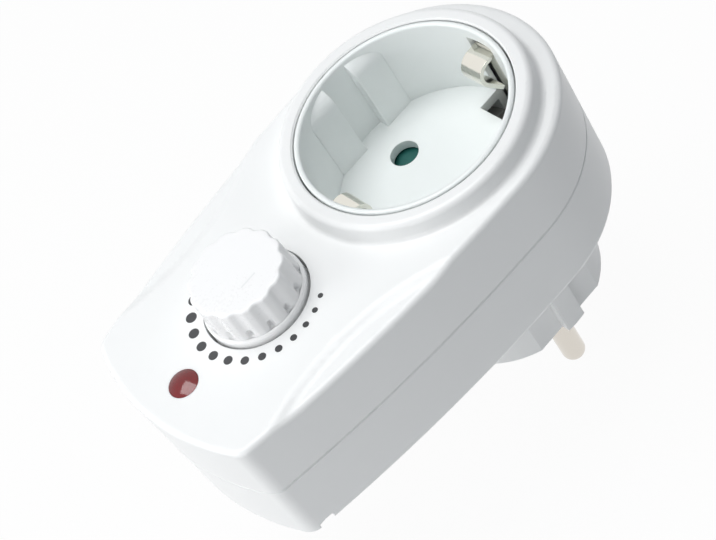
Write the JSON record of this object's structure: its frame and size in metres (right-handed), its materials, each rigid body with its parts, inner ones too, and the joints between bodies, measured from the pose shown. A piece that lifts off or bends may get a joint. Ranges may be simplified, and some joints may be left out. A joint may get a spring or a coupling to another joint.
{
  "type": "plug in dimmer",
  "caption": "Plug-in lamp dimmer: long rounded housing with a recessed socket, a fluted turning knob and an indicator lamp on its face, and a round plug boss with pins behind.",
  "frame": {"origin": "centre of the plug boss's contact face, midway between the two plug pins", "axes": "+Z out of the face that holds the socket and the knob, +Y from the knob end to the socket end"},
  "size_m": [0.0538, 0.095, 0.0777],
  "materials": {
    "white_plastic": "smooth, lightly satin",
    "insert_plastic": "smooth",
    "knob_plastic": "smooth",
    "carrier_plastic": "plain moulded",
    "shutter_plastic": "teal green, plain moulded",
    "nickel_plated_brass": "bright nickel plating",
    "nickel_strip": "nickel-plated sprung strip",
    "contact_brass": "stamped",
    "red_lens": "dark red, translucent",
    "lamp_glass": "clear",
    "lead_wire": "tinned",
    "zinc_steel": "zinc plated",
    "spring_steel": "drawn wire",
    "board_laminate": "paper laminate",
    "ferrite": "sintered",
    "copper_winding": "enamelled",
    "film_case": "moulded case",
    "dipped_case": "dipped",
    "diac_glass": "lacquered glass",
    "resistor_body": "lacquered",
    "sink_aluminium": "rolled",
    "tab_metal": "tinned",
    "moulding_compound": "moulded",
    "fuse_glass": "clear",
    "cap_metal": "nickel plated",
    "pot_case": "pressed",
    "track_resin": "printed",
    "shaft_metal": "turned",
    "bushing_brass": "turned",
    "live_insulation": "brown",
    "switched_insulation": "black",
    "neutral_insulation": "blue"
  },
  "bodies": {
    "base": {"front_housing": "white_plastic", "rear_housing": "white_plastic", "socket_insert": "insert_plastic", "contact_carrier": "carrier_plastic", "shutter_spring": "spring_steel", "socket_contact_live": "contact_brass", "socket_contact_neutral": "contact_brass", "plug_pin_live": "nickel_plated_brass", "plug_pin_neutral": "nickel_plated_brass", "earth_contact_far": "nickel_strip", "earth_contact_near": "nickel_strip", "earth_bridge": "nickel_strip", "potentiometer_track": "track_resin", "potentiometer_body": "pot_case", "potentiometer_bushing": "bushing_brass", "circuit_board": "board_laminate", "indicator_lens": "red_lens", "indicator_lamp": "lamp_glass", "lamp_leads": "lead_wire", "choke_core": "ferrite", "choke_winding": "copper_winding", "film_capacitor": "film_case", "timing_capacitor": "dipped_case", "diac": "diac_glass", "resistors": "resistor_body", "heat_sink": "sink_aluminium", "triac_tab": "tab_metal", "triac_package": "moulding_compound", "fuse_tube": "fuse_glass", "fuse_caps": "cap_metal", "fuse_clips": "contact_brass", "live_pin_wire": "live_insulation", "live_contact_wire": "switched_insulation", "neutral_wire": "neutral_insulation", "housing_screws": "zinc_steel", "board_screws": "zinc_steel"},
    "knob": {"control_knob": "knob_plastic", "potentiometer_shaft": "shaft_metal", "potentiometer_wiper": "contact_brass"},
    "shutter": {"safety_shutter": "shutter_plastic"}
  },
  "joints": [
    {"name": "knob_turn", "type": "hinge", "parent": "base", "child": "knob", "pos_m": [0, -0.04, 0.046], "axis": [0, 0, 1], "range_deg": [-220, 30]},
    {"name": "shutter_turn", "type": "hinge", "parent": "base", "child": "shutter", "pos_m": [0, 0, 0.0325], "axis": [0, 0, 1], "range_deg": [0, 40], "stiffness_Nm_per_rad": 0.001}
  ]
}
